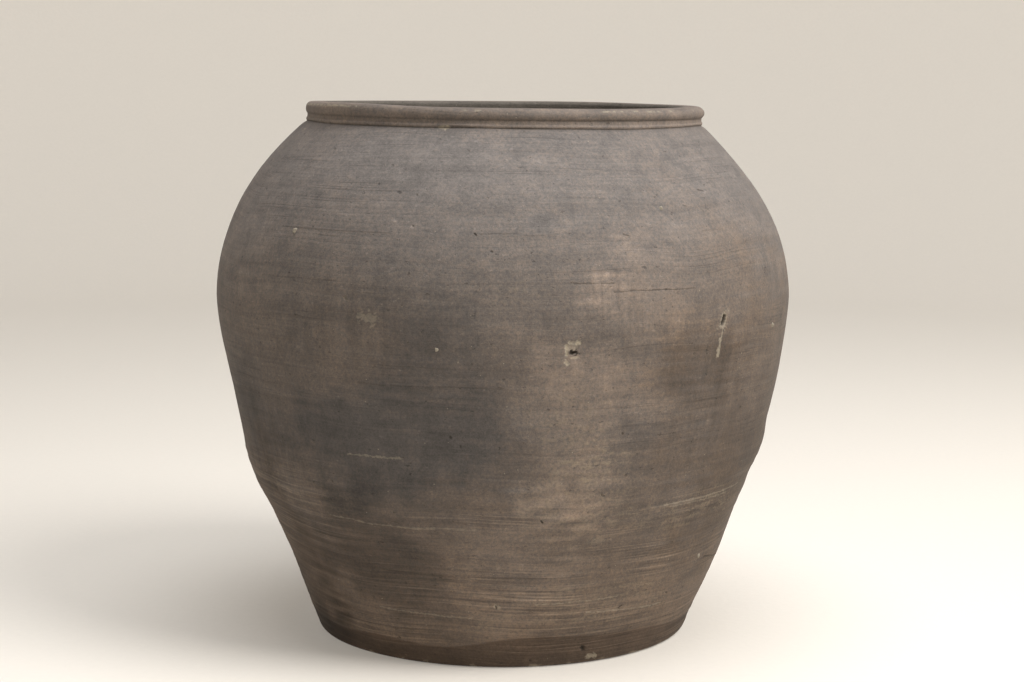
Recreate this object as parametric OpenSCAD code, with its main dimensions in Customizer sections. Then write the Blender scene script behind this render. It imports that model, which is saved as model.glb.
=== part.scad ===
// A wide-bellied floor jar of smoke-fired clay, built up by hand from its base: a flat base dish,
// six wall courses that lap one inside the other, a rim collar, and a coil pressed into the inside
// corner. Units are millimetres, +Z is up, and the origin is the middle of the face it stands on.

/* [Shape] */
// Height from the resting face to the top of the lip
pot_h = 421; // [413:1:431]
// Radius of the resting face, at its outer edge
foot_r = 150; // [145:0.5:154]
// Largest radius, at the belly
widest_r = 229.5; // [225:0.5:236]
// Height of the widest point
widest_z = 270; // [262:1:278]
// Curve from the kink up to the widest point, where 1 would be a straight cone
belly_power = 1.4; // [1.2:0.05:1.7]
// Curve from the widest point up to the rim, where higher is a fuller shoulder
shoulder_power = 2.12; // [1.9:0.02:2.3]

/* [Base] */
// Thickness of the base
floor_t = 12; // [10:0.5:13]
// Height of the base dish's upturned edge, where the first course starts
dish_h = 23; // [22:0.5:25]
// Outer radius at the top of the dish's edge
dish_r = 158.4; // [156:0.2:161]
// Rounding where the outside turns under the base
heel_round = 4; // [2:0.5:5]
// Reach of the inside corner coil along the base
coil_reach = 24; // [18:1:30]

/* [Wall courses] */
// Thickness of the wall, square to its surface
wall = 10; // [8:0.5:11]
// Height of each of the first five courses
course_h = 62; // [60:0.5:63]
// Outer radius at the kink, where the second course ends
kink_r = 207.8; // [204:0.2:211]
// How much lower a joint face is on the inside than on the outside
lap = 9; // [5:0.5:10]

/* [Rim] */
// Height of the rim collar above its seam
collar_h = 14.5; // [13:0.5:15.5]
// Radius of the mouth, a short upright wall inside the collar
mouth_r = 141; // [139:0.5:142]
// Outer radius of the wall and the collar where they meet at the seam
seam_r = 158.2; // [156:0.1:160]
// Radius of the round bead along the lip's outer edge
bead_round = 5; // [4.5:0.25:5.5]
// How far the bead stands out past the seam
bead_proud = 1; // [0.6:0.1:2]
// Radius of the shallow groove's hollow, under the bead
groove_round = 8; // [6:0.5:20]
// Width of the flat seat, before the joint bevels down inside
seat_w = 6; // [4:0.5:7]

/* [Hidden] */

seam_z = pot_h - collar_h;
kink_z = dish_h + 2 * course_h;
// Heights of the joints on the outside, from the dish's edge up to the rim's seam
joint_z = [for (i = [0:5]) dish_h + i * course_h, seam_z];
// Points along one course's outside or inside, beyond the first
steps = 8;
// Steps of the first course's inside that the corner coil covers
coil_steps = 3;
// Points along a round edge, beyond the first
round_steps = 8;
// Half the height over which the wall's slope is taken, so that bends turn softly inside
slope_reach = 6;
// Rounding of the lip's inner edge
lip_round = 3.5;
// Upright stretch of the collar between its seam and its groove
groove_start = 1;
// Height of the slope under the mouth's upright wall, where the collar is smeared down inside
collar_tail = 4;
// Angle on the bead, below level, where the groove runs into it
groove_turn = 50;

// Places are [degrees round from the front, towards +X; height; radius; depth or how far it stands out]
PITS = [[12.3, 252, 5.2, 2.6], [44.7, 266, 4.6, 3.8], [23.5, 13.5, 3.2, 2.0]];
GRAINS = [[-44.8, 331, 2.4], [-11.9, 253, 1.6], [33.8, 350.5, 1.8], [57.5, 75.5, 1.8],
          [64.7, 256.5, 2.0]];

function mix(a, b, t) = a + (b - a) * t;

// The outside of the jar: its radius at each height
function outer_r(z) =
    z < dish_h ? mix(foot_r, dish_r, z / dish_h)
    : z < kink_z ? mix(dish_r, kink_r, (z - dish_h) / (kink_z - dish_h))
    : z < widest_z ? widest_r - (widest_r - kink_r) * pow((widest_z - z) / (widest_z - kink_z), belly_power)
    : widest_r - (widest_r - seam_r) * pow((z - widest_z) / (seam_z - widest_z), shoulder_power);

function slope(z) = (outer_r(z + slope_reach) - outer_r(z - slope_reach)) / (2 * slope_reach);

// Matching points on the outside and, square through the wall, on the inside
function outside(z) = [outer_r(z), z];
function inside(z) = let (s = slope(z), n = sqrt(1 + s * s)) [outer_r(z) - wall / n, z + wall * s / n];

// Points along the outside or the inside between two heights, with both ends
function outside_run(z0, z1) = [for (i = [0:steps]) outside(mix(z0, z1, i / steps))];
function inside_run(z0, z1) = [for (i = [0:steps]) inside(mix(z0, z1, i / steps))];

// Points along a round stretch from p to q, with both ends. Its centre is on the left going from p
// to q, or on the right where r is negative.
function round_run(p, q, r) =
    let (chord = q - p, half = norm(chord) / 2, left = [-chord[1], chord[0]] / norm(chord),
         c = (p + q) / 2 + sign(r) * left * sqrt(r * r - half * half),
         a0 = atan2(p[1] - c[1], p[0] - c[0]), a1 = atan2(q[1] - c[1], q[0] - c[0]),
         turn = (a1 - a0 + 540) % 360 - 180)
    [for (i = [0:round_steps]) c + abs(r) * [cos(a0 + turn * i / round_steps), sin(a0 + turn * i / round_steps)]];

// The height to give inside() for the point where the inner face meets the top of the base
floor_z = floor_t - wall * slope(0) / sqrt(1 + pow(slope(0), 2));

// Where the rim joint's 45 degree bevel comes out on the inside of the wall
seam_in = inside(seam_z);
seam_slope = slope(seam_z);
bevel_top = [seam_r - seat_w, seam_z];
bevel_drop = (bevel_top[0] - seam_in[0] + seam_slope * (seam_in[1] - seam_z)) / (1 - seam_slope);
bevel_foot = bevel_top - [bevel_drop, bevel_drop];

// Turns a section, drawn as radius and height, round the jar's axis
module turned() {
    rotate_extrude($fn = 180) children();
}

// Puts children on the outside of the wall, with their +X pointing straight out of it
module on_wall(angle, z) {
    rotate([0, 0, angle - 90])
        translate([outer_r(z), 0, z])
            rotate([0, atan(slope(z)), 0])
                children();
}

// A shallow round pit, cut by a ball whose cap has the pit's radius and depth
module pit(place) {
    radius = place[2];
    depth = place[3];
    ball_r = (radius * radius + depth * depth) / (2 * depth);
    on_wall(place[0], place[1])
        translate([ball_r - depth, 0, 0])
            sphere(r = ball_r, $fn = 48);
}

// A grain of lime, sunk more than half into the clay
module grain(place) {
    on_wall(place[0], place[1])
        translate([-0.4 * place[2], 0, 0])
            sphere(r = place[2], $fn = 32);
}

// Takes the pits and the grains' sockets that lie between two heights out of a piece of wall
module pitted(z0, z1) {
    difference() {
        children();
        for (place = PITS)
            if (place[1] > z0 - 8 && place[1] < z1 + 8) pit(place);
        for (place = GRAINS)
            if (place[1] > z0 && place[1] < z1) grain(place);
    }
}

// One course of wall: its joint faces slope down to the inside, so that it sits in the one below
module course(i) {
    z0 = joint_z[i];
    z1 = joint_z[i + 1];
    pitted(z0, z1)
        turned()
            polygon(concat(outside_run(z0, z1), inside_run(z1 - lap, z0 - lap)));
}

// The last course ends in a flat seat for the collar, with a bevel inside it
module top_course() {
    z0 = joint_z[5];
    pitted(z0, seam_z)
        turned()
            polygon(concat(outside_run(z0, seam_z), [bevel_top, bevel_foot],
                           inside_run(seam_z - 2 * lap, z0 - lap)));
}

// A flat disc with its edge turned up, which is the whole foot of the jar
module base_dish() {
    heel_in = [foot_r - heel_round, 0];
    heel_out = outside(heel_round);
    // The radius that leaves the underside level and passes through both ends
    heel_r = pow(norm(heel_out - heel_in), 2) / (2 * heel_out[1]);
    heel = round_run(heel_in, heel_out, heel_r);
    color([0.25, 0.23, 0.21])
        pitted(0, dish_h)
            turned()
                polygon(concat([[0, 0]], heel, [outside(dish_h)],
                               inside_run(dish_h - lap, floor_z), [[0, floor_t]]));
}

// A coil smeared into the inside corner, over the joint between the base and the first course
module corner_coil() {
    wall_side = [for (i = [coil_steps:-1:1]) inside(dish_h - lap + course_h * i / steps)];
    toe = inside(floor_z) - [coil_reach, 0];
    hollow_r = 1.1 * norm(wall_side[0] - toe);
    face = round_run(toe, wall_side[0], hollow_r);
    color([0.38, 0.36, 0.33])
        turned()
            polygon(concat([for (i = [0:round_steps - 1]) face[i]], wall_side,
                           inside_run(dish_h - lap, floor_z)));
}

module foot_course() {
    color([0.35, 0.34, 0.31]) course(0);
}

module lower_wall_course() {
    color([0.38, 0.36, 0.33]) course(1);
}

module lower_belly_course() {
    color([0.39, 0.38, 0.36]) course(2);
}

module upper_belly_course() {
    color([0.42, 0.40, 0.37]) course(3);
}

module lower_shoulder_course() {
    color([0.47, 0.45, 0.41]) course(4);
}

module upper_shoulder_course() {
    color([0.52, 0.50, 0.46]) top_course();
}

// The lip: a round bead outside, a shallow groove under it, and a short upright wall inside
module rim_collar() {
    bead_c = [seam_r + bead_proud - bead_round, pot_h - bead_round];
    bead_start = bead_c + bead_round * [cos(groove_turn), -sin(groove_turn)];
    bead_side = bead_c + [bead_round, 0];
    groove = round_run([seam_r, seam_z + groove_start], bead_start, -groove_round);
    bead_low = round_run(bead_start, bead_side, bead_round);
    bead_high = round_run(bead_side, bead_c + [0, bead_round], bead_round);
    lip = round_run([mouth_r + lip_round, pot_h], [mouth_r, pot_h - lip_round], lip_round);
    color([0.46, 0.41, 0.34])
        turned()
            polygon(concat([bevel_top, [seam_r, seam_z]], groove,
                           [for (i = [1:round_steps]) bead_low[i]], [for (i = [1:round_steps]) bead_high[i]],
                           lip, [[mouth_r, bevel_foot[1] + collar_tail], bevel_foot]));
}

// Grains of burnt lime that show in the wall as pale specks
module lime_grains() {
    color([0.78, 0.75, 0.68])
        for (place = GRAINS) grain(place);
}

base_dish();
corner_coil();
foot_course();
lower_wall_course();
lower_belly_course();
upper_belly_course();
lower_shoulder_course();
upper_shoulder_course();
rim_collar();
lime_grains();
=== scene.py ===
# %% [markdown]
# # A smoke-fired clay jar
# The real jar was raised by hand in red-brown clay: a dish for the foot, courses of wall luted one on
# another, and a collar for the rim. A smoky fire turned it grey, so nothing on it is glossy or even.
# Here the measured solids are the frame. Each one is turned again as a finer skin, which gets the
# dents, scrapes, pits and smoke stains that make it read as fired earth.

# %% Load the frame
import math

import bmesh
import bpy
import numpy as np
from mathutils import Matrix, Vector


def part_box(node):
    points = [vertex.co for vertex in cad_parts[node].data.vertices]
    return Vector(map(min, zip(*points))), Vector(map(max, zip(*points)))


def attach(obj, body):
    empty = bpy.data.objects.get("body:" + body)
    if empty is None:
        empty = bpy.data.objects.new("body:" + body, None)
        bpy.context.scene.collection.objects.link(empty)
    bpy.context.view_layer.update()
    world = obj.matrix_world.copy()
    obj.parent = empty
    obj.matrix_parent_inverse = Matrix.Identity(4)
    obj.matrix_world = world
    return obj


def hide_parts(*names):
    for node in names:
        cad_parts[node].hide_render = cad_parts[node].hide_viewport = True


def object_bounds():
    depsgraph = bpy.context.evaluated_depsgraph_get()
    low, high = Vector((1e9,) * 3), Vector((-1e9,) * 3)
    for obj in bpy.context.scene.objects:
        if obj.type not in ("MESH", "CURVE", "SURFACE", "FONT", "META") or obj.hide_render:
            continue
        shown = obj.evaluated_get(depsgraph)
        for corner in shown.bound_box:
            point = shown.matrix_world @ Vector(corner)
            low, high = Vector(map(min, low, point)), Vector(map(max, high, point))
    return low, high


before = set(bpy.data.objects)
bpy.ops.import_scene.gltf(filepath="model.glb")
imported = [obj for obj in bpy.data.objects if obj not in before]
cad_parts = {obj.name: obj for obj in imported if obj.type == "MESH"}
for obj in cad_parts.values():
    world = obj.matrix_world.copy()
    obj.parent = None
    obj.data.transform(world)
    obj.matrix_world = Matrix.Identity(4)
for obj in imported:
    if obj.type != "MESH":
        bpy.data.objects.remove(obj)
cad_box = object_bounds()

MM = 0.001
JAR_TOP = cad_box[1].z
print("frame:", sorted(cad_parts), "top at", round(JAR_TOP, 4))

# %% [markdown]
# ## The camera
# A jar is judged first by its outline. A long lens from a few steps away keeps that outline calm, and
# a place just above the rim shows a sliver of the dark mouth. The camera is turned in three plain
# steps: up from looking straight down, round the upright axis, and a touch of roll.

# %% Camera
CAMERA_PLACE = (0, -1.7064, 0.4577)
CAMERA_PITCH = math.radians(82.389)
CAMERA_YAW = math.radians(-0.2387)
CAMERA_ROLL = math.radians(0.3848)
lens = bpy.data.cameras.new("studio_camera")
lens.lens = 74.56
lens.sensor_width = 36
camera = bpy.data.objects.new("studio_camera", lens)
camera.matrix_world = (
    Matrix.Translation(CAMERA_PLACE)
    @ Matrix.Rotation(CAMERA_YAW, 4, "Z")
    @ Matrix.Rotation(CAMERA_PITCH, 4, "X")
    @ Matrix.Rotation(CAMERA_ROLL, 4, "Z")
)
bpy.context.scene.collection.objects.link(camera)
bpy.context.scene.camera = camera
bpy.context.scene.view_settings.view_transform = "Standard"
print("camera at", CAMERA_PLACE)

# %% [markdown]
# ## Cutting a section
# A potter checks a wall by cutting the pot in half. The same cut gives the line to turn: a copy of
# the solid is merged, cut down to a thin slice by two bisects, and what is left is a wire of the wall
# on one side. Cutting keeps every size exactly as measured, which tracing it again would not.

# %% Section helpers
MERGE = 0.02 * MM


def take_up(piece):
    """Makes one object the only selected one."""
    bpy.ops.object.select_all(action="DESELECT")
    bpy.context.view_layer.objects.active = piece
    piece.select_set(True)


def section_of(node):
    """The wire where an upright plane cuts one side of the node's wall."""
    wire = bpy.data.objects.new(node + "_finished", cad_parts[node].data.copy())
    bpy.context.scene.collection.objects.link(wire)
    wire.data.materials.clear()
    take_up(wire)
    bpy.ops.object.mode_set(mode="EDIT")
    bpy.ops.mesh.select_all(action="SELECT")
    bpy.ops.mesh.remove_doubles(threshold=MERGE)
    bpy.ops.mesh.select_all(action="SELECT")
    bpy.ops.mesh.bisect(plane_co=(0, 0, 0), plane_no=(0, 1, 0), clear_inner=True, clear_outer=True)
    bpy.ops.mesh.select_all(action="SELECT")
    bpy.ops.mesh.bisect(plane_co=(0, 0, 0), plane_no=(1, 0, 0), clear_inner=True)
    bpy.ops.mesh.customdata_custom_splitnormals_clear()
    bpy.ops.object.mode_set(mode="OBJECT")
    while wire.data.uv_layers:
        wire.data.uv_layers.remove(wire.data.uv_layers[0])
    return wire


COURSES = [
    "foot_course", "lower_wall_course", "lower_belly_course",
    "upper_belly_course", "lower_shoulder_course", "upper_shoulder_course",
]
TURNED = ["base_dish", "corner_coil", *COURSES, "rim_collar"]
wires = {node: section_of(node) for node in TURNED}
for node, wire in wires.items():
    print(node, "section:", len(wire.data.vertices), "points")

# %% [markdown]
# ## The outline of the whole jar
# Every later step asks how deep a point lies under the outer skin, so the sections are read together
# as one table: the widest radius at each height. The slope comes from the same table, because depth
# is measured square to the wall and the shoulder leans a long way in.

# %% Outline table
HEIGHTS = np.arange(0, JAR_TOP, 0.5 * MM)


def widest_at_each_height():
    radius = np.zeros(len(HEIGHTS))
    for wire in wires.values():
        points = [(v.co.x, v.co.z) for v in wire.data.vertices]
        for edge in wire.data.edges:
            low, high = sorted((points[i] for i in edge.vertices), key=lambda p: p[1])
            if high[1] - low[1] < MERGE:
                continue
            level = (HEIGHTS >= low[1]) & (HEIGHTS <= high[1])
            reach = np.interp(HEIGHTS[level], [low[1], high[1]], [low[0], high[0]])
            radius[level] = np.maximum(radius[level], reach)
    return radius


OUTLINE = widest_at_each_height()
LEAN = np.gradient(OUTLINE, HEIGHTS)
# The slope is averaged over this many heights, so that a joint's small step doesn't tilt it
EVENED = 9
SQUARE = 1 / np.sqrt(1 + np.convolve(LEAN, np.ones(EVENED) / EVENED, mode="same") ** 2)


def jar_radius(z):
    return np.interp(z, HEIGHTS, OUTLINE)


def depth_under_skin(place):
    """How far each point lies inside the jar's outer skin, in metres."""
    reach = np.hypot(place[:, 0], place[:, 1])
    return (jar_radius(place[:, 2]) - reach) * np.interp(place[:, 2], HEIGHTS, SQUARE)


WALL = 10 * MM
COLLAR_HEIGHT = 14.5 * MM
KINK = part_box("lower_wall_course")[1].z
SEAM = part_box("rim_collar")[1].z - COLLAR_HEIGHT
print("widest", round(2 * OUTLINE.max(), 4), "kink at", round(KINK, 4), "seam at", round(SEAM, 4))

# %% [markdown]
# ## Turning a section into a skin
# The jar turned slowly while it was made, so Spin is the true way to get its wall. The wire is first
# cut into short, even edges: fine where the hand and the light touch it, coarse inside. After the
# spin, doubles are merged and normals set outwards, sharp corners are creased, and one level of
# Subdivision Surface rounds the rest. A fine section with one level costs less than a coarse one with
# two, because the small edges of the joints aren't cut again and again.

# %% Turning helpers
OUTER_STEP = 2.8 * MM
INNER_STEP = 8 * MM
SKIN_SHARE = 0.4
SHARP_CORNER = math.radians(32)
FULL_TURN = 2 * math.pi


def select_edges(piece, keep):
    """In edit mode, selects the edges that keep() says."""
    bpy.ops.mesh.select_mode(type="EDGE")
    bpy.ops.mesh.select_all(action="DESELECT")
    shape = bmesh.from_edit_mesh(piece.data)
    for edge in [edge for edge in shape.edges if keep(edge)]:
        edge.select_set(True)
    bmesh.update_edit_mesh(piece.data)


def cuts_for(edge, inner_step):
    """How many cuts bring an edge of the section down to its step."""
    middle = (edge.verts[0].co + edge.verts[1].co) / 2
    near_skin = depth_under_skin(np.array([middle]))[0] < SKIN_SHARE * WALL
    step = OUTER_STEP if near_skin else inner_step
    return math.ceil(edge.calc_length() / step - 0.01) - 1


def turn_skin(node, steps, inner_step=INNER_STEP):
    """Spins a node's section into a closed skin and smooths it."""
    skin = wires[node]
    take_up(skin)
    bpy.ops.object.mode_set(mode="EDIT")
    shape = bmesh.from_edit_mesh(skin.data)
    counts = {cuts_for(edge, inner_step) for edge in shape.edges}
    for count in sorted(counts - {0}, reverse=True):
        select_edges(skin, lambda edge: cuts_for(edge, inner_step) == count)
        bpy.ops.mesh.subdivide(number_cuts=count)
    bpy.ops.mesh.select_all(action="SELECT")
    bpy.ops.mesh.spin(steps=steps, angle=FULL_TURN, center=(0, 0, 0), axis=(0, 0, 1))
    bpy.ops.mesh.select_all(action="SELECT")
    bpy.ops.mesh.remove_doubles(threshold=MERGE)
    bpy.ops.mesh.select_all(action="SELECT")
    bpy.ops.mesh.normals_make_consistent(inside=False)
    bpy.ops.mesh.select_mode(type="EDGE")
    bpy.ops.mesh.select_all(action="DESELECT")
    bpy.ops.mesh.edges_select_sharp(sharpness=SHARP_CORNER)
    bpy.ops.transform.edge_crease(value=1)
    bpy.ops.object.mode_set(mode="OBJECT")
    bpy.ops.object.modifier_add(type="SUBSURF")
    smoothing = skin.modifiers[-1]
    smoothing.levels = 1
    smoothing.render_levels = 1
    bpy.ops.object.modifier_apply(modifier=smoothing.name)
    return skin


skins = {node: turn_skin(node, steps=400) for node in COURSES[:-1]}
skins["upper_shoulder_course"] = turn_skin("upper_shoulder_course", steps=350)
skins["base_dish"] = turn_skin("base_dish", steps=240)
skins["corner_coil"] = turn_skin("corner_coil", steps=192, inner_step=6 * MM)
skins["rim_collar"] = turn_skin("rim_collar", steps=400, inner_step=3 * MM)
for node, skin in skins.items():
    print(node, "skin:", len(skin.data.polygons), "faces")

# %% [markdown]
# ## Unevenness
# Two kinds of number serve everything that follows: soft steps, so that no change starts with an
# edge, and a field of plane waves from a seeded draw. Plane waves are quick to work out for every
# point at once, and stretching their lengths turns the same field into dents, streaks or ridges.

# %% Unevenness helpers
def step_up(low, high, value):
    """0 below low, 1 above high and a soft step between."""
    share = np.clip((value - low) / (high - low), 0, 1)
    return share * share * (3 - 2 * share)


def swell(value, centre, reach):
    """1 at the centre, softly down to 0 at the reach on either side."""
    return 1 - step_up(0, reach, np.abs(value - centre))


def waves(place, lengths, seed, count=20):
    """An uneven field, about -1 to 1, that varies over these lengths along X, Y and Z."""
    draw = np.random.default_rng(seed)
    field = np.zeros(len(place))
    for _ in range(count):
        heading = draw.normal(size=3)
        heading *= FULL_TURN * draw.uniform(0.6, 1.3) / np.linalg.norm(heading)
        field += np.cos(place @ (heading / lengths) + draw.uniform(0, FULL_TURN))
    return field / math.sqrt(2 * count)


print("a wave field at the jar's middle:", waves(np.array([[0, -0.2, 0.2]]), (.1, .1, .1), 1))

# %% [markdown]
# ## Marks left in the wall
# Lime grains burst in the fire and left pits, grit dragged out nicks, and tools left thin scratches.
# Each mark is a short stroke on the unrolled wall, from one end to the other, with a width and a
# depth. A pit is a few strokes with hardly any length: pale crumbs round a dark core. Where a mark
# lies, the skin is subdivided first, so that it is a real hollow and not only a painted one.

# %% Marks
# Ends as (degrees from the front, height as a share of the jar), then half width and depth in mm,
# how pale and how sooty it is, and how ragged its edge
PIT_MARKS = [
    ((12.1, .6060), (12.9, .6060), 3.6, 1.0, .28, .0, .4),
    ((11.3, .6095), (11.4, .5935), 1.4, .8, .75, .0, .4),
    ((12.0, .6140), (13.3, .6150), 1.8, .6, .50, .0, .5),
    ((13.2, .6140), (13.5, .6145), 1.7, .5, .80, .0, .3),
    ((12.1, .5970), (13.1, .5985), 1.8, 2.4, .0, .85, .7),
    ((12.9, .6015), (13.2, .6035), .8, .6, .0, .60, .6),
    ((12.2, .5885), (13.4, .5895), .8, .3, .50, .0, .6),
    ((11.2, .5800), (11.5, .5770), 1.9, .3, .65, .0, .5),
    ((44.8, .640), (44.6, .630), 4.9, .5, .45, .0, .40),
    ((44.9, .641), (44.6, .632), 2.6, 3.2, .0, .80, .50),
    ((44.6, .622), (44.4, .600), .8, .1, .50, .0, .60),
    ((44.3, .602), (44.1, .575), 1.8, .1, .52, .0, .60),
    ((23.5, .0335), (23.7, .0320), 2.3, 2.0, .0, .80, .25),
    ((-25.4, .652), (-24.0, .649), 4.2, .2, .24, .0, .90),
    ((26.0, .0160), (27.6, .0140), 2.2, .2, .45, .0, .80),
    ((-17.6, .9655), (-14.6, .9655), 1.3, .4, .70, .0, .70),
]
NICK_MARKS = [
    ((-29.7, .680), (-29.4, .678), 1.1, .6, .3, .3, .4),
    ((-5.4, .7935), (-5.1, .7920), .7, .7, .0, .85, .3),
    ((-2.3, .765), (-2.1, .7645), .6, .5, .0, .6, .3),
    ((23.4, .791), (24.3, .789), .6, .3, .0, .5, .5),
    ((-17.5, .805), (-17.4, .804), .7, .5, .0, .6, .3),
    ((-17.8, .8545), (-17.7, .853), .7, .4, .1, .5, .3),
    ((46.6, .8605), (48.4, .858), .5, .3, .0, .6, .5),
    ((8.3, .296), (8.6, .292), .8, .8, .1, .85, .3),
    ((20.4, .342), (20.8, .339), 1.5, .4, .2, .4, .4),
    ((20.5, .340), (20.6, .339), .6, .6, .0, .8, .3),
    ((23.1, .452), (23.2, .450), .8, .6, .2, .6, .3),
    ((-10.1, .449), (-10.0, .4475), .9, .7, .0, .8, .3),
    ((-8.2, .434), (-8.1, .430), .6, .5, .0, .7, .3),
    ((-2.1, .127), (-1.2, .123), 1.6, .5, .4, .0, .4),
    ((-2.0, .1270), (-1.8, .1225), .6, .7, .0, .7, .3),
    ((31.3, .108), (32.2, .1125), .7, .6, .0, .7, .3),
    ((47.3, .1205), (48.1, .1180), .6, .4, .0, .6, .3),
    ((57.3, .1805), (57.7, .1795), 1.1, .3, .4, .0, .4),
    ((-36.8, .351), (-36.6, .349), .8, .5, .0, .6, .3),
    ((8.1, .0135), (8.3, .0128), .8, .6, .0, .7, .3),
    ((-29.7, .0485), (-29.4, .0475), 1.0, .5, .0, .6, .3),
]
SCRATCH_MARKS = [
    ((12.0, .7140), (20.0, .7125), .40, .25, .0, .45, 1.2),
    ((20.0, .6985), (37.0, .6965), .42, .30, .0, .45, 1.2),
    ((-32.0, .4035), (-20.0, .4045), .70, .20, .28, .0, 1.2),
    ((-40.0, .2800), (-18.0, .2740), .50, .20, .20, .0, 1.2),
    ((-22.0, .2755), (-5.5, .2790), .50, .20, .20, .0, 1.2),
    ((37.0, .3060), (66.0, .3110), .70, .25, .28, .0, 1.0),
    ((39.0, .3010), (60.0, .3030), .50, .25, .25, .0, 1.0),
    ((-4.5, .7930), (3.0, .7955), .40, .15, .0, .30, 1.0),
    ((-52.0, .7050), (-32.0, .7080), .40, .15, .0, .25, 1.0),
    ((8.0, .1300), (30.0, .1330), .55, .25, .30, .0, 1.0),
    ((22.0, .1080), (47.0, .1000), .60, .30, .30, .0, 1.0),
    ((-34.0, .1060), (-8.0, .1020), .55, .25, .22, .0, 1.0),
    ((-30.0, .1850), (10.0, .1830), .50, .25, .0, .30, 1.0),
    ((0.0, .5360), (-28.0, .5350), .40, .15, .0, .22, 1.0),
    ((62.0, .1700), (78.0, .1480), .70, .40, .0, .45, .7),
]
MARKS = PIT_MARKS + NICK_MARKS + SCRATCH_MARKS
# The same hand and fire marked the side that is turned away, so it gets its share of strokes
draw_marks = np.random.default_rng(41)
SCRATCHES_BEHIND = 14
PITS_BEHIND = 16
for _ in range(SCRATCHES_BEHIND):
    start, height = draw_marks.uniform(85, 275), draw_marks.uniform(.06, .92)
    length, rise = draw_marks.uniform(6, 26), draw_marks.uniform(-.006, .006)
    pale = draw_marks.uniform(.2, .4) * (draw_marks.random() < .5)
    stroke_end = (start + length, height + rise)
    MARKS.append(((start, height), stroke_end, .5, .3, pale, .4 - pale, 1.0))
for _ in range(PITS_BEHIND):
    start, height = draw_marks.uniform(80, 280), draw_marks.uniform(.04, .92)
    size = draw_marks.uniform(.8, 2.4)
    pale = .45 * (draw_marks.random() < .4)
    pit_end = (start + .4, height + .002)
    MARKS.append(((start, height), pit_end, size, .4 * size, pale, .6 - pale, .3))
print(len(MARKS), "marks in the wall")


def turn_from(angle, centre):
    """Angle from centre, the short way round, in radians."""
    return (angle - centre + math.pi) % FULL_TURN - math.pi


def hand_wobble(place):
    """How far a stroke strays up or down at each point, in metres."""
    return 0.5 * MM * waves(place, (.022, .022, .06), 29)


def unrolled(place, wobble, mark):
    """Distance of each point from a mark's stroke over the surface, in half widths."""
    (start, low), (end, high), half_width = mark[:3]
    around = np.arctan2(place[:, 0], -place[:, 1])
    reach = jar_radius((low + high) / 2 * JAR_TOP)
    across = turn_from(around, math.radians(start)) * reach
    up = place[:, 2] + wobble - low * JAR_TOP
    stroke = np.array([math.radians(end - start) * reach, (high - low) * JAR_TOP])
    share = np.clip((across * stroke[0] + up * stroke[1]) / (stroke @ stroke), 0, 1)
    gap = np.hypot(across - share * stroke[0], up - share * stroke[1])
    return gap / (half_width * MM)


def torn_edge(place, gap, ragged):
    """The same distance with a ragged edge, which breaks a thin stroke up along its way."""
    uneven = waves(place, (.006, .006, .006), 23) + 0.8 * waves(place, (.0022, .0022, .0022), 26)
    return gap * np.clip(1 + ragged * uneven, .45, None)


def refine_for_marks(skin):
    """Cuts the faces under each mark smaller and says how many there were."""
    centres = np.array([face.center for face in skin.data.polygons])
    outer = depth_under_skin(centres) < 0.3 * WALL
    wobble = hand_wobble(centres)
    chosen = np.zeros(len(centres), bool)
    for mark in MARKS:
        # A thin stroke needs a wider margin in half widths, or whole faces of it would be missed
        margin = 1.25 + 1.3 / mark[2]
        chosen |= outer & (unrolled(centres, wobble, mark) < margin)
    if not chosen.any():
        return 0
    take_up(skin)
    bpy.ops.object.mode_set(mode="EDIT")
    bpy.ops.mesh.select_mode(type="FACE")
    bpy.ops.mesh.select_all(action="DESELECT")
    bpy.ops.object.mode_set(mode="OBJECT")
    skin.data.polygons.foreach_set("select", chosen)
    bpy.ops.object.mode_set(mode="EDIT")
    bpy.ops.mesh.subdivide(number_cuts=2)
    bpy.ops.object.mode_set(mode="OBJECT")
    return int(chosen.sum())


for node in ["base_dish", *COURSES]:
    print(node, "faces cut finer:", refine_for_marks(skins[node]))

# %% [markdown]
# ## Shaping by hand
# Nothing thrown and scraped by hand is exactly round. One function moves every point of every piece
# by where the point is, so two courses that meet are moved alike and their joint stays closed. It
# adds the slow wander of the axis, soft dents, scraping below the kink, the undercut foot, finger
# ridges inside, and a rim that is not quite level. Each amount is in millimetres square to the wall.

# %% Shaping
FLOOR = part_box("base_dish")[0].z + 12 * MM
FINGER_RISE = 19 * MM
COIL_STEP = 17 * MM
RIM_TILT = 0.0072


def foot_line(place, around):
    """Height of the wavy upper edge of the foot band."""
    bulge = swell(turn_from(around, math.radians(18)), 0, 0.75)
    return (18.5 + 8 * bulge) * MM + 1.8 * MM * waves(place, (.09, .09, .09), 5)


def finger_ridges(place, around, radius):
    """Ridges that climb inside the wall, and a spiral on the floor."""
    strayed = around - 1.5 * waves(place, (.2, .2, .2), 11)
    climb = np.cos(FULL_TURN * place[:, 2] / FINGER_RISE - strayed)
    coil = np.cos(FULL_TURN * radius / COIL_STEP - around)
    on_floor = swell(place[:, 2], FLOOR, 4 * MM) * (radius < 150 * MM) * step_up(10 * MM, 30 * MM, radius)
    return climb, coil * on_floor


def hollow_of_marks(place):
    """How deep the marks cut, in metres."""
    hollow = np.zeros(len(place))
    wobble = hand_wobble(place)
    for mark in MARKS:
        gap = unrolled(place, wobble, mark)
        near = gap < 1.6
        bowl = np.clip(1 - torn_edge(place[near], gap[near], mark[6]) ** 2, 0, 1)
        lip = 0.08 * swell(gap[near], 1.25, .35)
        hollow[near] = np.maximum(hollow[near], mark[3] * MM * (bowl - lip))
    return hollow


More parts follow.
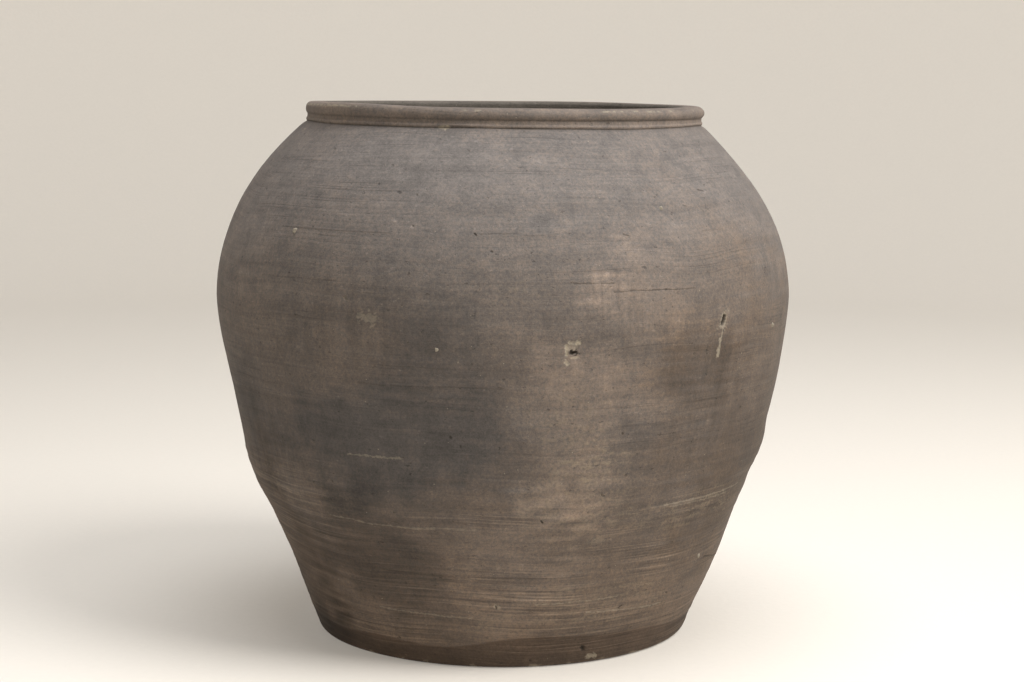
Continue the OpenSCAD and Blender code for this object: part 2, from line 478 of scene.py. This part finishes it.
def shape_by_hand(place):
    """Where each point ends after the jar is shaped."""
    height = place[:, 2]
    around = np.arctan2(place[:, 0], -place[:, 1])
    radius = np.hypot(place[:, 0], place[:, 1])
    depth = depth_under_skin(place)
    outer = 1 - step_up(0.5 * MM, 4.5 * MM, depth)
    above_floor = step_up(11 * MM, 20 * MM, height)
    inner = step_up(6 * MM, 9 * MM, depth) * above_floor * (1 - step_up(395 * MM, 402 * MM, height))
    off_axis = step_up(20 * MM, 120 * MM, radius)

    dents = 0.55 * waves(place, (.13, .13, .11), 1) + 0.10 * waves(place, (.3, .3, .022), 2)
    scraped = 1 - step_up(KINK - 5 * MM, KINK + 14 * MM, height)
    scrapes = 0.11 * waves(place, (.16, .16, .0045), 3) * (0.25 + scraped)
    on_the_right = swell(turn_from(around, math.radians(80)), 0, 0.9)
    kink = 2.1 * swell(height, KINK - 21 * MM, 30 * MM) - 0.6 * swell(height, KINK - 18 * MM, 11 * MM)
    kink += 2.2 * on_the_right * swell(height, KINK + 9 * MM, 22 * MM)
    foot = step_up(-1.5 * MM, 1.5 * MM, foot_line(place, around) - height)
    below_collar = SEAM - 0.6 * MM
    seam = -0.9 * swell(height, below_collar, 1.5 * MM) + 0.35 * swell(height, SEAM + 2 * MM, 1.2 * MM)
    bead = 0.45 * place[:, 0] / jar_radius(height) * swell(height, JAR_TOP - 5 * MM, 5 * MM)
    rim_bumps = 0.22 * waves(place, (.03, .03, .03), 4) * step_up(SEAM, SEAM + 2 * MM, height)
    out = outer * (scrapes + kink - 0.45 * foot + seam + bead + rim_bumps) + dents * off_axis
    out -= outer * hollow_of_marks(place) / MM

    climb, coil = finger_ridges(place, around, radius)
    out += 0.7 * inner * climb
    oval = 0.7 * np.cos(2 * around + 0.6) + 0.35 * np.cos(3 * around + 2 + 6 * height)
    out += oval * off_axis * (1 - 0.6 * step_up(380 * MM, 410 * MM, height))

    moved = place + (place * [1, 1, 0]) * (out * MM / np.maximum(radius, MM))[:, None]
    wander = (
        -1.3 * swell(height, .87 * JAR_TOP, .13 * JAR_TOP)
        + 0.8 * swell(height, .47 * JAR_TOP, .12 * JAR_TOP)
        - 0.9 * swell(height, .31 * JAR_TOP, .09 * JAR_TOP)
        + 1.8 * swell(height, .15 * JAR_TOP, .13 * JAR_TOP)
    )
    moved[:, 0] += wander * MM
    lip = step_up(JAR_TOP - 6 * MM, JAR_TOP, height)
    moved[:, 2] += 0.3 * MM * lip * waves(place, (.14, .14, .14), 6)
    moved[:, 2] += 1.3 * MM * lip * swell(turn_from(around, math.radians(-50)), 0, 0.6)
    moved[:, 2] -= 1.4 * MM * lip * swell(turn_from(around, math.radians(-150)), 0, 1.2)
    moved[:, 2] += 0.45 * MM * waves(place, (.07, .07, .07), 7) * swell(height, SEAM, 5 * MM)
    moved[:, 2] += 0.5 * MM * coil
    moved[:, 2] -= RIM_TILT * place[:, 0] * step_up(340 * MM, 405 * MM, height)
    return moved


def points_of(piece):
    """The places of all points of a piece, one row each."""
    place = np.empty(3 * len(piece.data.vertices))
    piece.data.vertices.foreach_get("co", place)
    return place.reshape(-1, 3)


widest = HEIGHTS[OUTLINE.argmax()]
front = np.array([[0, -jar_radius(widest), widest]])
print("shaping moves the widest line's front by", np.round(shape_by_hand(front) - front, 5)[0])

# %% [markdown]
# ## Smoke, soot, wear and painted light, worked out point by point
# The kiln's smoke lay unevenly: grey-black where it was trapped, tan where air got in. Broad patches
# like these follow places on the jar, so they are kept as numbers on the skin's points, one set
# for each kind of stain. The warmth and tone among them also carry painted shade and painted warm
# bounce light. The fine grain is left to the materials, which are sharper than any mesh.

# %% Stains and painted light
# How warm and how light the clay is by height: heights as shares of the jar, then the values there.
# The warmth towards the foot is partly the fire and partly painted warm bounce light, and the
# darkening towards the foot is partly smoke and partly painted shade.
WARMTH_FROM_FIRE_AND_BOUNCE = (
    [0, .10, .20, .30, .45, .60, .75, .85, 1],
    [.98, .82, .70, .52, .28, .36, .17, .08, .12],
)
TONE_FROM_SMOKE_AND_SHADE = (
    [0, .10, .25, .42, .60, .80, .92, 1],
    [.64, .73, .67, .63, .745, .94, .98, .92],
)
# Degrees from the front, height as a share of the jar, reach in degrees and in height, then how
# much warmer and how much lighter the middle of the patch is. The lightness is partly smoke and
# partly painted shade and painted light matched to these lamps, which darken the left side most.
PATCHES = [
    (14, .47, 15, .27, .12, .46),
    (26, .70, 18, .10, .03, .18),
    (27, .49, 9, .05, .03, .26),
    (3, .20, 22, .19, -.10, .28),
    (-22, .42, 30, .13, -.35, -.18),
    (-34, .20, 28, .17, .0, -.42),
    (-58, .22, 18, .15, .0, -.24),
    (2, .63, 9, .07, .0, .14),
    (17, .34, 10, .09, .05, .12),
    (-12, .53, 15, .20, -.15, -.14),
    (42, .55, 14, .08, .05, -.32),
    (56, .36, 22, .22, .05, -.22),
    (7.5, .812, 3, .020, -.35, -.22),
    (-66, .77, 22, .11, .0, .25),
    (-66, .12, 24, .14, .35, -.14),
    (60, .47, 42, .38, .28, -.02),
    (-62, .03, 26, .05, .0, -.36),
    (-67, .09, 20, .07, .0, -.32),
    (-68, .43, 16, .10, .0, -.20),
    (-39, .19, 12, .06, .0, -.20),
    (38, .72, 36, .22, .10, -.02),
    (-70, .22, 24, .25, .30, -.06),
    (-22, .65, 18, .07, .0, -.12),
    (-56, .44, 30, .18, .0, -.18),
    (60, .24, 22, .20, .0, -.12),
    (-20, .90, 40, .07, -.10, .04),
]
# Where dry clay slip was rubbed on: degrees, height, reach in degrees and in height, strength
RUBBED = [
    (18, .39, 8, .06, 1.0),
    (15, .32, 14, .12, .6),
    (14, .47, 9, .08, .4),
    (45, .29, 28, .05, .5),
    (25, .12, 40, .06, .4),
    (4, .70, 9, .06, .25),
    (-50, .31, 16, .08, .2),
    (150, .40, 30, .15, .8),
    (215, .25, 25, .12, .8),
]
# Where a wet hand wiped upwards: the same five numbers
WIPED = [
    (-56, .38, 16, .15, 1.0),
    (-30, .62, 16, .12, .5),
    (20, .64, 14, .10, .7),
    (44, .50, 12, .14, .6),
    (110, .5, 20, .2, .8),
    (200, .6, 25, .2, .7),
    (250, .35, 16, .15, .9),
]
draw_patches = np.random.default_rng(17)
for centre in np.linspace(88, 272, 11):
    PATCHES.append((
        centre + draw_patches.uniform(-8, 8), draw_patches.uniform(.15, .9),
        draw_patches.uniform(12, 34), draw_patches.uniform(.08, .22),
        draw_patches.uniform(-.4, .4), draw_patches.uniform(-.2, .2),
    ))


def spot(around, level, patch, torn, core):
    """1 in the core of a patch and 0 outside it, with a torn edge between."""
    centre, middle, reach, rise = patch[:4]
    across = turn_from(around, math.radians(centre)) / math.radians(reach)
    up = (level - middle) / rise
    return 1 - step_up(core, 1.1, np.hypot(across, up) + torn)


def strongest(around, level, patches, torn, core):
    """The strongest of several patches at each point."""
    strength = np.zeros(len(around))
    for patch in patches:
        strength = np.maximum(strength, patch[4] * spot(around, level, patch, torn, core))
    return strength


def smoke_and_painted_light(around, level, torn):
    """How warm and how light the clay is painted at each point: smoke, with painted shade and painted
    warm bounce light.
    """
    warmth = np.interp(level, *WARMTH_FROM_FIRE_AND_BOUNCE)
    tone = np.interp(level, *TONE_FROM_SMOKE_AND_SHADE)
    for patch in PATCHES:
        cover = spot(around, level, patch, torn, .25)
        warmth += patch[4] * cover
        tone *= 1 + patch[5] * cover
    return warmth, tone


def colour_of_marks(place, depth):
    """How pale and how sooty the marks leave each point."""
    pale = np.zeros(len(place))
    soot = np.zeros(len(place))
    near_skin = depth < 0.5 * WALL
    wobble = hand_wobble(place)
    for mark in MARKS:
        gap = unrolled(place, wobble, mark)
        near = near_skin & (gap < 1.6)
        cover = 1 - step_up(.55, 1.1, torn_edge(place[near], gap[near], mark[6]))
        pale[near] = np.maximum(pale[near], mark[4] * cover) * (1 - mark[5] * cover)
        soot[near] = np.maximum(soot[near], mark[5] * cover)
    return pale, soot


def stains_and_painted_light(place):
    """The stains and painted light of each point, by name."""
    height = place[:, 2]
    around = np.arctan2(place[:, 0], -place[:, 1])
    depth = depth_under_skin(place)
    level = height / JAR_TOP
    torn = 0.22 * waves(place, (.07, .07, .05), 31) + 0.12 * waves(place, (.02, .02, .02), 32)
    torn += 0.16 * waves(place, (.045, .045, .007), 33)
    warmth, tone = smoke_and_painted_light(around, level, torn)
    pale, soot = colour_of_marks(place, depth)
    return {
        "warmth": warmth,
        "tone": tone,
        "pale": pale,
        "soot": soot,
        "rubbed": strongest(around, level, RUBBED, 1.3 * torn, .2),
        "wiped": strongest(around, level, WIPED, torn, .3),
        "inside": step_up(6.5 * MM, 9 * MM, depth) * step_up(5 * MM, 9 * MM, height),
        "foot": (foot_line(place, around) - height) / MM,
        "below_lip": (JAR_TOP - height) / MM,
    }


def finish_skin(skin):
    """Stains a skin and paints light and shade on it, shapes it and smooths its shading."""
    place = points_of(skin)
    for name, values in stains_and_painted_light(place).items():
        layer = skin.data.attributes.new(name, "FLOAT", "POINT")
        layer.data.foreach_set("value", values.astype(np.float32))
    skin.data.vertices.foreach_set("co", shape_by_hand(place).ravel())
    skin.data.update()
    take_up(skin)
    bpy.ops.object.shade_smooth_by_angle(angle=math.radians(50))


for node, skin in skins.items():
    finish_skin(skin)
    print(node, "finished, points:", len(skin.data.vertices))

# %% [markdown]
# ## Lime grains
# The pale specks are burnt lime in the clay. Each was a true ball in the frame, which no crumb of
# lime is, so a copy is merged, moved with the wall round it, and made lumpy by short waves.

# %% Grains
grains = bpy.data.objects.new("lime_grains_finished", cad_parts["lime_grains"].data.copy())
bpy.context.scene.collection.objects.link(grains)
grains.data.materials.clear()
take_up(grains)
bpy.ops.object.mode_set(mode="EDIT")
bpy.ops.mesh.select_all(action="SELECT")
bpy.ops.mesh.remove_doubles(threshold=MERGE)
bpy.ops.mesh.select_all(action="SELECT")
bpy.ops.mesh.customdata_custom_splitnormals_clear()
bpy.ops.object.mode_set(mode="OBJECT")
place = points_of(grains)
moved = shape_by_hand(place)
LUMP = 0.28 * MM
lumps = LUMP * np.stack([waves(place, (.003, .003, .003), seed) for seed in (51, 52, 53)], 1)
grains.data.vertices.foreach_set("co", (moved + lumps).ravel())
grains.data.update()
bpy.ops.object.shade_smooth_by_angle(angle=math.radians(60))
print("lime grains:", len(grains.data.vertices), "points")

# %% [markdown]
# ## Writing materials as sums
# A stain is a sum: clay colour, times smoke, plus scratches. So a socket is wrapped in a small class
# that makes Math nodes from +, - and *, and one method makes every node.

# %% Material helpers
class Stain:
    """One output of a node, which sums and products can be made with."""

    def __init__(self, mix, socket):
        self.mix = mix
        self.socket = socket

    def __add__(self, other):
        return self.mix.math("ADD", self, other)

    def __sub__(self, other):
        return self.mix.math("SUBTRACT", self, other)

    def __mul__(self, other):
        return self.mix.math("MULTIPLY", self, other)

    def __rsub__(self, other):
        return self.mix.math("SUBTRACT", other, self)

    __radd__ = __add__
    __rmul__ = __mul__


class ClayMix:
    """A material that is being mixed."""

    def __init__(self, name):
        self.material = bpy.data.materials.new(name)
        self.material.use_nodes = True
        self.tree = self.material.node_tree
        self.tree.nodes.clear()

    def node(self, kind, settings=None, values=None, out=0):
        """Makes a node: its settings first, then the values or links of its sockets."""
        made = self.tree.nodes.new(kind)
        for name, value in (settings or {}).items():
            setattr(made, name, value)
        for key, value in (values or {}).items():
            if isinstance(value, Stain):
                self.tree.links.new(value.socket, made.inputs[key])
            else:
                made.inputs[key].default_value = value
        return Stain(self, made.outputs[out]) if len(made.outputs) else None

    def math(self, operation, *values):
        return self.node("ShaderNodeMath", {"operation": operation}, dict(enumerate(values)))

    def attribute(self, name):
        return self.node("ShaderNodeAttribute", {"attribute_name": name}, out="Fac")

    def noise(self, place, per_metre, detail=2.0, rough=0.5):
        """Noise about 0, with its grains per metre along X, Y and Z."""
        scaled = self.node("ShaderNodeVectorMath", {"operation": "MULTIPLY"}, {0: place, 1: per_metre})
        values = {"Vector": scaled, "Scale": 1.0, "Detail": detail, "Roughness": rough}
        return self.node("ShaderNodeTexNoise", values=values, out="Fac") - 0.5

    def step(self, value, low, high):
        """0 at low, 1 at high and a soft step between."""
        values = {"Value": value, "From Min": low, "From Max": high}
        return self.node("ShaderNodeMapRange", {"interpolation_type": "SMOOTHSTEP"}, values)

    def colours(self, share, first, second):
        """A blend of two colours by share."""
        values = {0: share, 6: first, 7: second}
        return self.node("ShaderNodeMix", {"data_type": "RGBA"}, values, out=2)

    def scaled(self, colour, amount):
        """A colour made lighter or darker."""
        return self.node("ShaderNodeVectorMath", {"operation": "SCALE"}, {0: colour, "Scale": amount})

    def specks(self, place, per_metre, size, share):
        """Round specks: size as a part of their spacing, share of places that have one."""
        values = {"Vector": place, "Scale": per_metre}
        settings = {"feature": "F1"}
        near = self.node("ShaderNodeTexVoronoi", settings, values, out="Distance")
        chance = self.node("ShaderNodeTexVoronoi", settings, values, out="Color")
        lot = self.node("ShaderNodeSeparateXYZ", values={0: chance})
        return self.step(near, size, 0.4 * size) * self.math("LESS_THAN", lot, share)

    def finish(self, colour, roughness, height, specular=0.3, glow=0.0):
        """Joins colour, roughness and a height in millimetres to the surface."""
        relief = {"Strength": 1.0, "Distance": MM, "Height": height}
        bump = self.node("ShaderNodeBump", values=relief, out="Normal")
        values = {
            "Base Color": colour,
            "Roughness": roughness,
            "Normal": bump,
            "Specular IOR Level": specular,
            "Emission Color": colour,
            "Emission Strength": glow,
        }
        surface = self.node("ShaderNodeBsdfPrincipled", values=values)
        self.node("ShaderNodeOutputMaterial", values={"Surface": surface})
        return self.material


print("material helpers ready")

# %% [markdown]
# ## Smoked clay, with painted light and shade
# Up close the fired surface is grain, fine grit and small nicks. Below the kink the scraper left
# streaks, cuts and burrs that run almost level, and above it there is a faint upright brushing. Each
# of these is noise with its coordinates stretched one way, so one noise node can be grain or streak.
# All of them scale one clay colour, and the same numbers raise the surface a little, as they do on
# real clay. The clay's warmth and tone also carry painted warm bounce light and painted shade. The
# edge of the foot is worn pale, a broken pale line along the lip's top edge is partly wear and
# partly a painted highlight, and the seam under the collar is darkened with painted shade.

# %% Clay
COOL_CLAY = (.148, .133, .125, 1)
WARM_CLAY = (.184, .134, .098, 1)
INNER_CLAY = (.105, .092, .078, 1)
FOOT_CLAY = (.090, .061, .042, 1)
PALE_CLAY = (.400, .350, .265, 1)
RUBBED_CLAY = (.270, .220, .155, 1)
# Soot for the marks, also used for the painted shade in the seam
SOOT_AND_SEAM_SHADE = (.026, .021, .016, 1)
DARK_CHALK = (.20, .175, .135, 1)
PALE_CHALK = (.31, .28, .23, 1)
# Lines round the rim, in millimetres below the lip
WORN_AND_LIT_LIP = 1.8
GROOVE = 8.4
RIDGE = 12.3
SHADED_SEAM = 14.6


def ring(mix, below_lip, depth, reach):
    """1 on a ring round the jar that lies this many millimetres below the lip, 0 at the reach."""
    return mix.step(mix.math("ABSOLUTE", below_lip - depth), reach, 0.0)


def smoked_clay_with_painted_light(name, warmer=0.0):
    """Fired clay with every stain and mark of the wall, and the painted shade and highlight it carries.
    """
    mix = ClayMix(name)
    place = mix.node("ShaderNodeTexCoord", out="Object")
    height = mix.node("ShaderNodeSeparateXYZ", values={0: place}, out="Z")
    warmth = mix.attribute("warmth")
    tone = mix.attribute("tone")
    pale = mix.attribute("pale")
    soot = mix.attribute("soot")
    inside = mix.attribute("inside")
    foot = mix.attribute("foot")
    rubbed = mix.attribute("rubbed")
    wiped = mix.attribute("wiped")
    below_lip = mix.attribute("below_lip")

    cloud = mix.noise(place, (11, 11, 9), detail=3)
    mottle = mix.noise(place, (60, 60, 75), detail=4, rough=0.65)
    slow = mix.noise(place, (7, 7, 7), detail=1)
    sway = mix.node("ShaderNodeCombineXYZ", values={2: slow * 0.016})
    swayed = mix.node("ShaderNodeVectorMath", {"operation": "ADD"}, {0: place, 1: sway})
    streaks = mix.noise(swayed, (13, 13, 520), detail=3, rough=0.65)
    hairs = mix.noise(swayed, (9, 9, 850), detail=2, rough=0.6)
    bands = mix.noise(swayed, (5, 5, 110), detail=2)
    brushing = mix.noise(place, (170, 170, 13), detail=3, rough=0.6)
    smudges = mix.noise(place, (48, 48, 15), detail=3)
    clusters = mix.step(mix.noise(place, (9, 9, 26), detail=1), -0.12, 0.16)
    grain = mix.noise(place, (1100, 1100, 1100), detail=2)
    grit = mix.noise(place, (420, 420, 420), detail=2)
    scuffs = mix.noise(place, (170, 170, 330), detail=3, rough=0.6)
    dabs = mix.noise(place, (75, 75, 300), detail=4, rough=0.7)
    dark_specks = mix.specks(place, 170, 0.10, 0.55)
    pale_specks = mix.specks(place, 120, 0.07, 0.35)

    scraped = mix.step(height, KINK + 0.02, KINK - 0.03)
    streaky = 0.40 + 1.05 * scraped
    nicks = mix.step(scuffs, 0.15, 0.22)
    bruises = mix.step(scuffs, -0.14, -0.22)
    cuts = mix.step(hairs, 0.10, 0.18) * (0.15 + clusters * 0.75)
    burrs = mix.step(hairs, -0.07, -0.16) * (0.15 + clusters * scraped)
    rubs = mix.step(dabs + grit * 0.4, -0.06, 0.20) * rubbed

    # The share of warm clay carries the fire's warmth and painted warm bounce light towards the foot
    smoke_and_bounce_warmth = warmth + warmer + cloud * 0.25 + mottle * 0.38 + smudges * 0.30
    smoke_and_bounce_warmth = mix.node("ShaderNodeClamp", values={0: smoke_and_bounce_warmth + grit * 0.9 + streaks * streaky * 0.4})
    # The tone carries smoke and painted shade
    value = tone * (1 + cloud * 0.20 + mottle * 0.72 + smudges * 0.35)
    value = value * (1 + streaks * streaky * (0.40 + clusters * 0.85) + bands * 0.30)
    value = value * (1 + brushing * (0.18 * (1 - scraped) + wiped * 0.8) + grain * 0.75 + grit * 0.70)
    value = value * (1 - dark_specks * 0.35 - nicks * 0.42 + bruises * 0.28)
    value = value * (1 - cuts * 0.22 + burrs * 0.42)
    groove = ring(mix, below_lip, GROOVE, 1.6)
    ridge = ring(mix, below_lip, RIDGE, 1.2)
    value = value * (1 - groove * 0.22 + ridge * 0.22)

    clay = mix.colours(smoke_and_bounce_warmth, COOL_CLAY, WARM_CLAY)
    band = mix.step(foot + grit * 3 + streaks * 4, -0.8, 1.4) * (1 - inside)
    clay = mix.colours(band * 0.85, clay, FOOT_CLAY)
    clay = mix.colours(inside, clay, INNER_CLAY)
    clay = mix.scaled(clay, value)
    clay = mix.colours(rubs * 0.65 + burrs * 0.10, clay, RUBBED_CLAY)
    # A broken pale line along the lip's top edge: partly wear and partly a painted highlight
    lip_breaks = mix.step(cloud + scuffs * 1.4, -0.02, 0.22)
    lip_wear_and_highlight = ring(mix, below_lip, WORN_AND_LIT_LIP, 1.3) * lip_breaks * (1 - inside)
    foot_wear = mix.step(height, 4.2 * MM, 1.2 * MM) * mix.step(mottle + scuffs * 0.5, 0.05, 0.13)
    # Pale marks, specks, foot wear and the painted lip highlight, all towards the pale clay
    pale_wear_and_lip_highlight = pale * (0.85 + grit) + pale_specks * 0.5 + lip_wear_and_highlight * 0.45 + foot_wear * 0.40
    clay = mix.colours(pale_wear_and_lip_highlight, clay, PALE_CLAY)
    # Painted shade along the seam under the collar
    seam_shade = ring(mix, below_lip, SHADED_SEAM, 0.9)
    clay = mix.colours(soot * (1 + grit) + seam_shade * 0.35, clay, SOOT_AND_SEAM_SHADE)

    roughness = 0.80 + grit * 0.20 - streaks * 0.10 - bands * 0.10
    relief = streaks * streaky * 0.22 + grain * 0.08 + grit * 0.18 + brushing * wiped * 0.15
    relief = relief - dark_specks * 0.20 - nicks * 0.14 - cuts * 0.10 + burrs * 0.10
    relief = relief + pale_specks * 0.05 + rubs * 0.22 + mottle * 0.35
    return mix.finish(clay, roughness, relief)


def lime_chalk(name):
    """Burnt lime, smeared with clay and crumbly."""
    mix = ClayMix(name)
    place = mix.node("ShaderNodeTexCoord", out="Object")
    crumbs = mix.noise(place, (1500, 1500, 1500), detail=3, rough=0.6)
    smears = mix.noise(place, (500, 500, 500), detail=2)
    chalk = mix.colours(0.5 + smears * 1.6, DARK_CHALK, PALE_CHALK)
    chalk = mix.scaled(chalk, 1 + crumbs * 0.5)
    return mix.finish(chalk, 0.9 + crumbs * 0.1, crumbs * 0.25, specular=0.2)


FINISHES = {
    "foot_clay": smoked_clay_with_painted_light("foot_clay"),
    "wall_clay": smoked_clay_with_painted_light("wall_clay"),
    "inner_clay": smoked_clay_with_painted_light("inner_clay"),
    "rim_clay": smoked_clay_with_painted_light("rim_clay", warmer=0.30),
    "lime": lime_chalk("lime"),
}
SLOT_OF = {
    "base_dish": "foot_clay",
    "corner_coil": "inner_clay",
    "rim_collar": "rim_clay",
    "lime_grains": "lime",
}
print("finishes:", list(FINISHES))

# %% [markdown]
# ## Joining the pieces to the frame
# Every finished piece stands for one solid of the frame, stays with the one body that the jar is, and
# takes its finish from that solid's slot.

# %% Join to the frame
for node, piece in {**skins, "lime_grains": grains}.items():
    slot = SLOT_OF.get(node, "wall_clay")
    piece.data.materials.append(FINISHES[slot])
    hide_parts(node)
    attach(piece, "root")
print(len(skins) + 1, "pieces stand for the frame's solids")

# %% [markdown]
# ## Floor and light
# The jar stands in a light tent: a round pale sheet, flat under the jar and curved up all round it, so
# that no side of the jar has a line behind it. It starts as a filled circle, whose rim is extruded up
# and whose fold is bevelled round. Daylight through the cloth makes the sheet glow a little. One large
# soft lamp stands high on the right and a weaker one hangs above.

# %% Stage
TENT_RADIUS = 3.3
TENT_HEIGHT = 2.6
TENT_FOLD = 1.0
TENT_RIM = 1.3
TENT_GLOW = 0.28
TENT_CLOTH = (.66, .625, .575)


def tent_cloth(name, colour):
    """Pale cloth that glows a little."""
    mix = ClayMix(name)
    place = mix.node("ShaderNodeTexCoord", out="Object")
    grain = mix.noise(place, (160, 160, 160), detail=3)
    cloth = mix.scaled(colour, 1 + grain * 0.04)
    return mix.finish(cloth, 0.85, grain * 0.2, specular=0.2, glow=TENT_GLOW)


def on_the_fold(edge):
    """Whether an edge lies where the floor turns up into the wall."""
    return all(v.co.z < 0.1 and v.co.xy.length > TENT_RADIUS - 0.01 for v in edge.verts)


bpy.ops.object.select_all(action="DESELECT")
bpy.ops.mesh.primitive_circle_add(vertices=96, radius=TENT_RADIUS, fill_type="NGON")
tent = bpy.context.object
tent.name = "light_tent"
bpy.ops.object.mode_set(mode="EDIT")
bpy.ops.mesh.select_all(action="SELECT")
bpy.ops.mesh.inset(thickness=TENT_RIM)
select_edges(tent, lambda edge: edge.is_boundary)
bpy.ops.mesh.extrude_region_move(TRANSFORM_OT_translate={"value": (0, 0, TENT_HEIGHT)})
select_edges(tent, on_the_fold)
bpy.ops.mesh.bevel(offset=TENT_FOLD, segments=20, affect="EDGES")
bpy.ops.mesh.select_all(action="SELECT")
bpy.ops.mesh.normals_make_consistent(inside=True)
bpy.ops.object.mode_set(mode="OBJECT")
bpy.ops.object.shade_smooth_by_angle(angle=math.radians(30))
tent.data.materials.append(tent_cloth("pale_cloth", TENT_CLOTH))


def soft_light(name, place, size, power, colour):
    """A round soft lamp, turned to the middle of the jar."""
    lamp = bpy.data.lights.new(name, "AREA")
    lamp.shape = "DISK"
    lamp.size = size
    lamp.energy = power
    lamp.color = colour
    stand = bpy.data.objects.new(name, lamp)
    stand.location = place
    stand.rotation_euler = (JAR_MIDDLE - Vector(place)).to_track_quat("-Z", "Y").to_euler()
    stand.visible_camera = False
    bpy.context.scene.collection.objects.link(stand)


JAR_MIDDLE = Vector((0, 0, 0.22))
soft_light("key_light", (1.5, -1.0, 2.1), 1.3, 66, (1, .98, .95))
soft_light("top_light", (0.1, -0.2, 2.2), 1.6, 30, (.97, .98, 1))
sky = bpy.data.worlds.new("pale_sky")
sky.use_nodes = True
daylight = sky.node_tree.nodes["Background"]
daylight.inputs["Color"].default_value = (1, .985, .96, 1)
daylight.inputs["Strength"].default_value = 0.10
bpy.context.scene.world = sky
print("stage and lights ready")

# %% [markdown]
# ## Bringing the scene up to date
# The view layer is updated once more, after the last piece and lamp are added.

# %% Update
bpy.context.view_layer.update()
